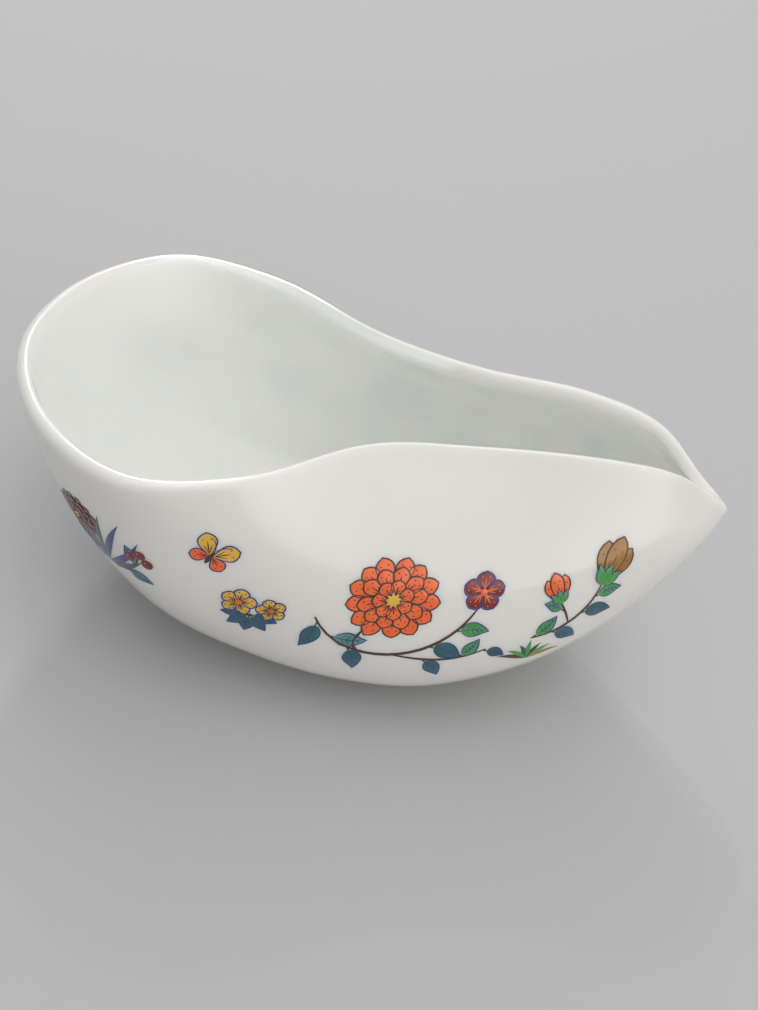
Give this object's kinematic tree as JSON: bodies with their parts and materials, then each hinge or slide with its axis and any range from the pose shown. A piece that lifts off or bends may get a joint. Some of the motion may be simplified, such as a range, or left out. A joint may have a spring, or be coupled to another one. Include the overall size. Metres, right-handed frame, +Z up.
{
  "type": "tea leaf holder",
  "caption": "Boat-shaped porcelain tea leaf holder: a round open bowl that narrows to a channel and a pointed pouring lip, on a low oval foot ring.",
  "frame": {"origin": "on the resting surface, under the middle of the holder's length and width", "axes": "+X from the round end to the pointed pouring lip, +Z up"},
  "size_m": [0.125, 0.0644, 0.0532],
  "materials": {
    "glazed_porcelain": "clear gloss glaze over white porcelain",
    "bare_clay": "bare fired clay, matt",
    "overglaze_enamel": "glossy painted enamels with cobalt outlines"
  },
  "bodies": {
    "root": {"porcelain_body": "glazed_porcelain", "foot_ring": "bare_clay"}
  },
  "joints": []
}
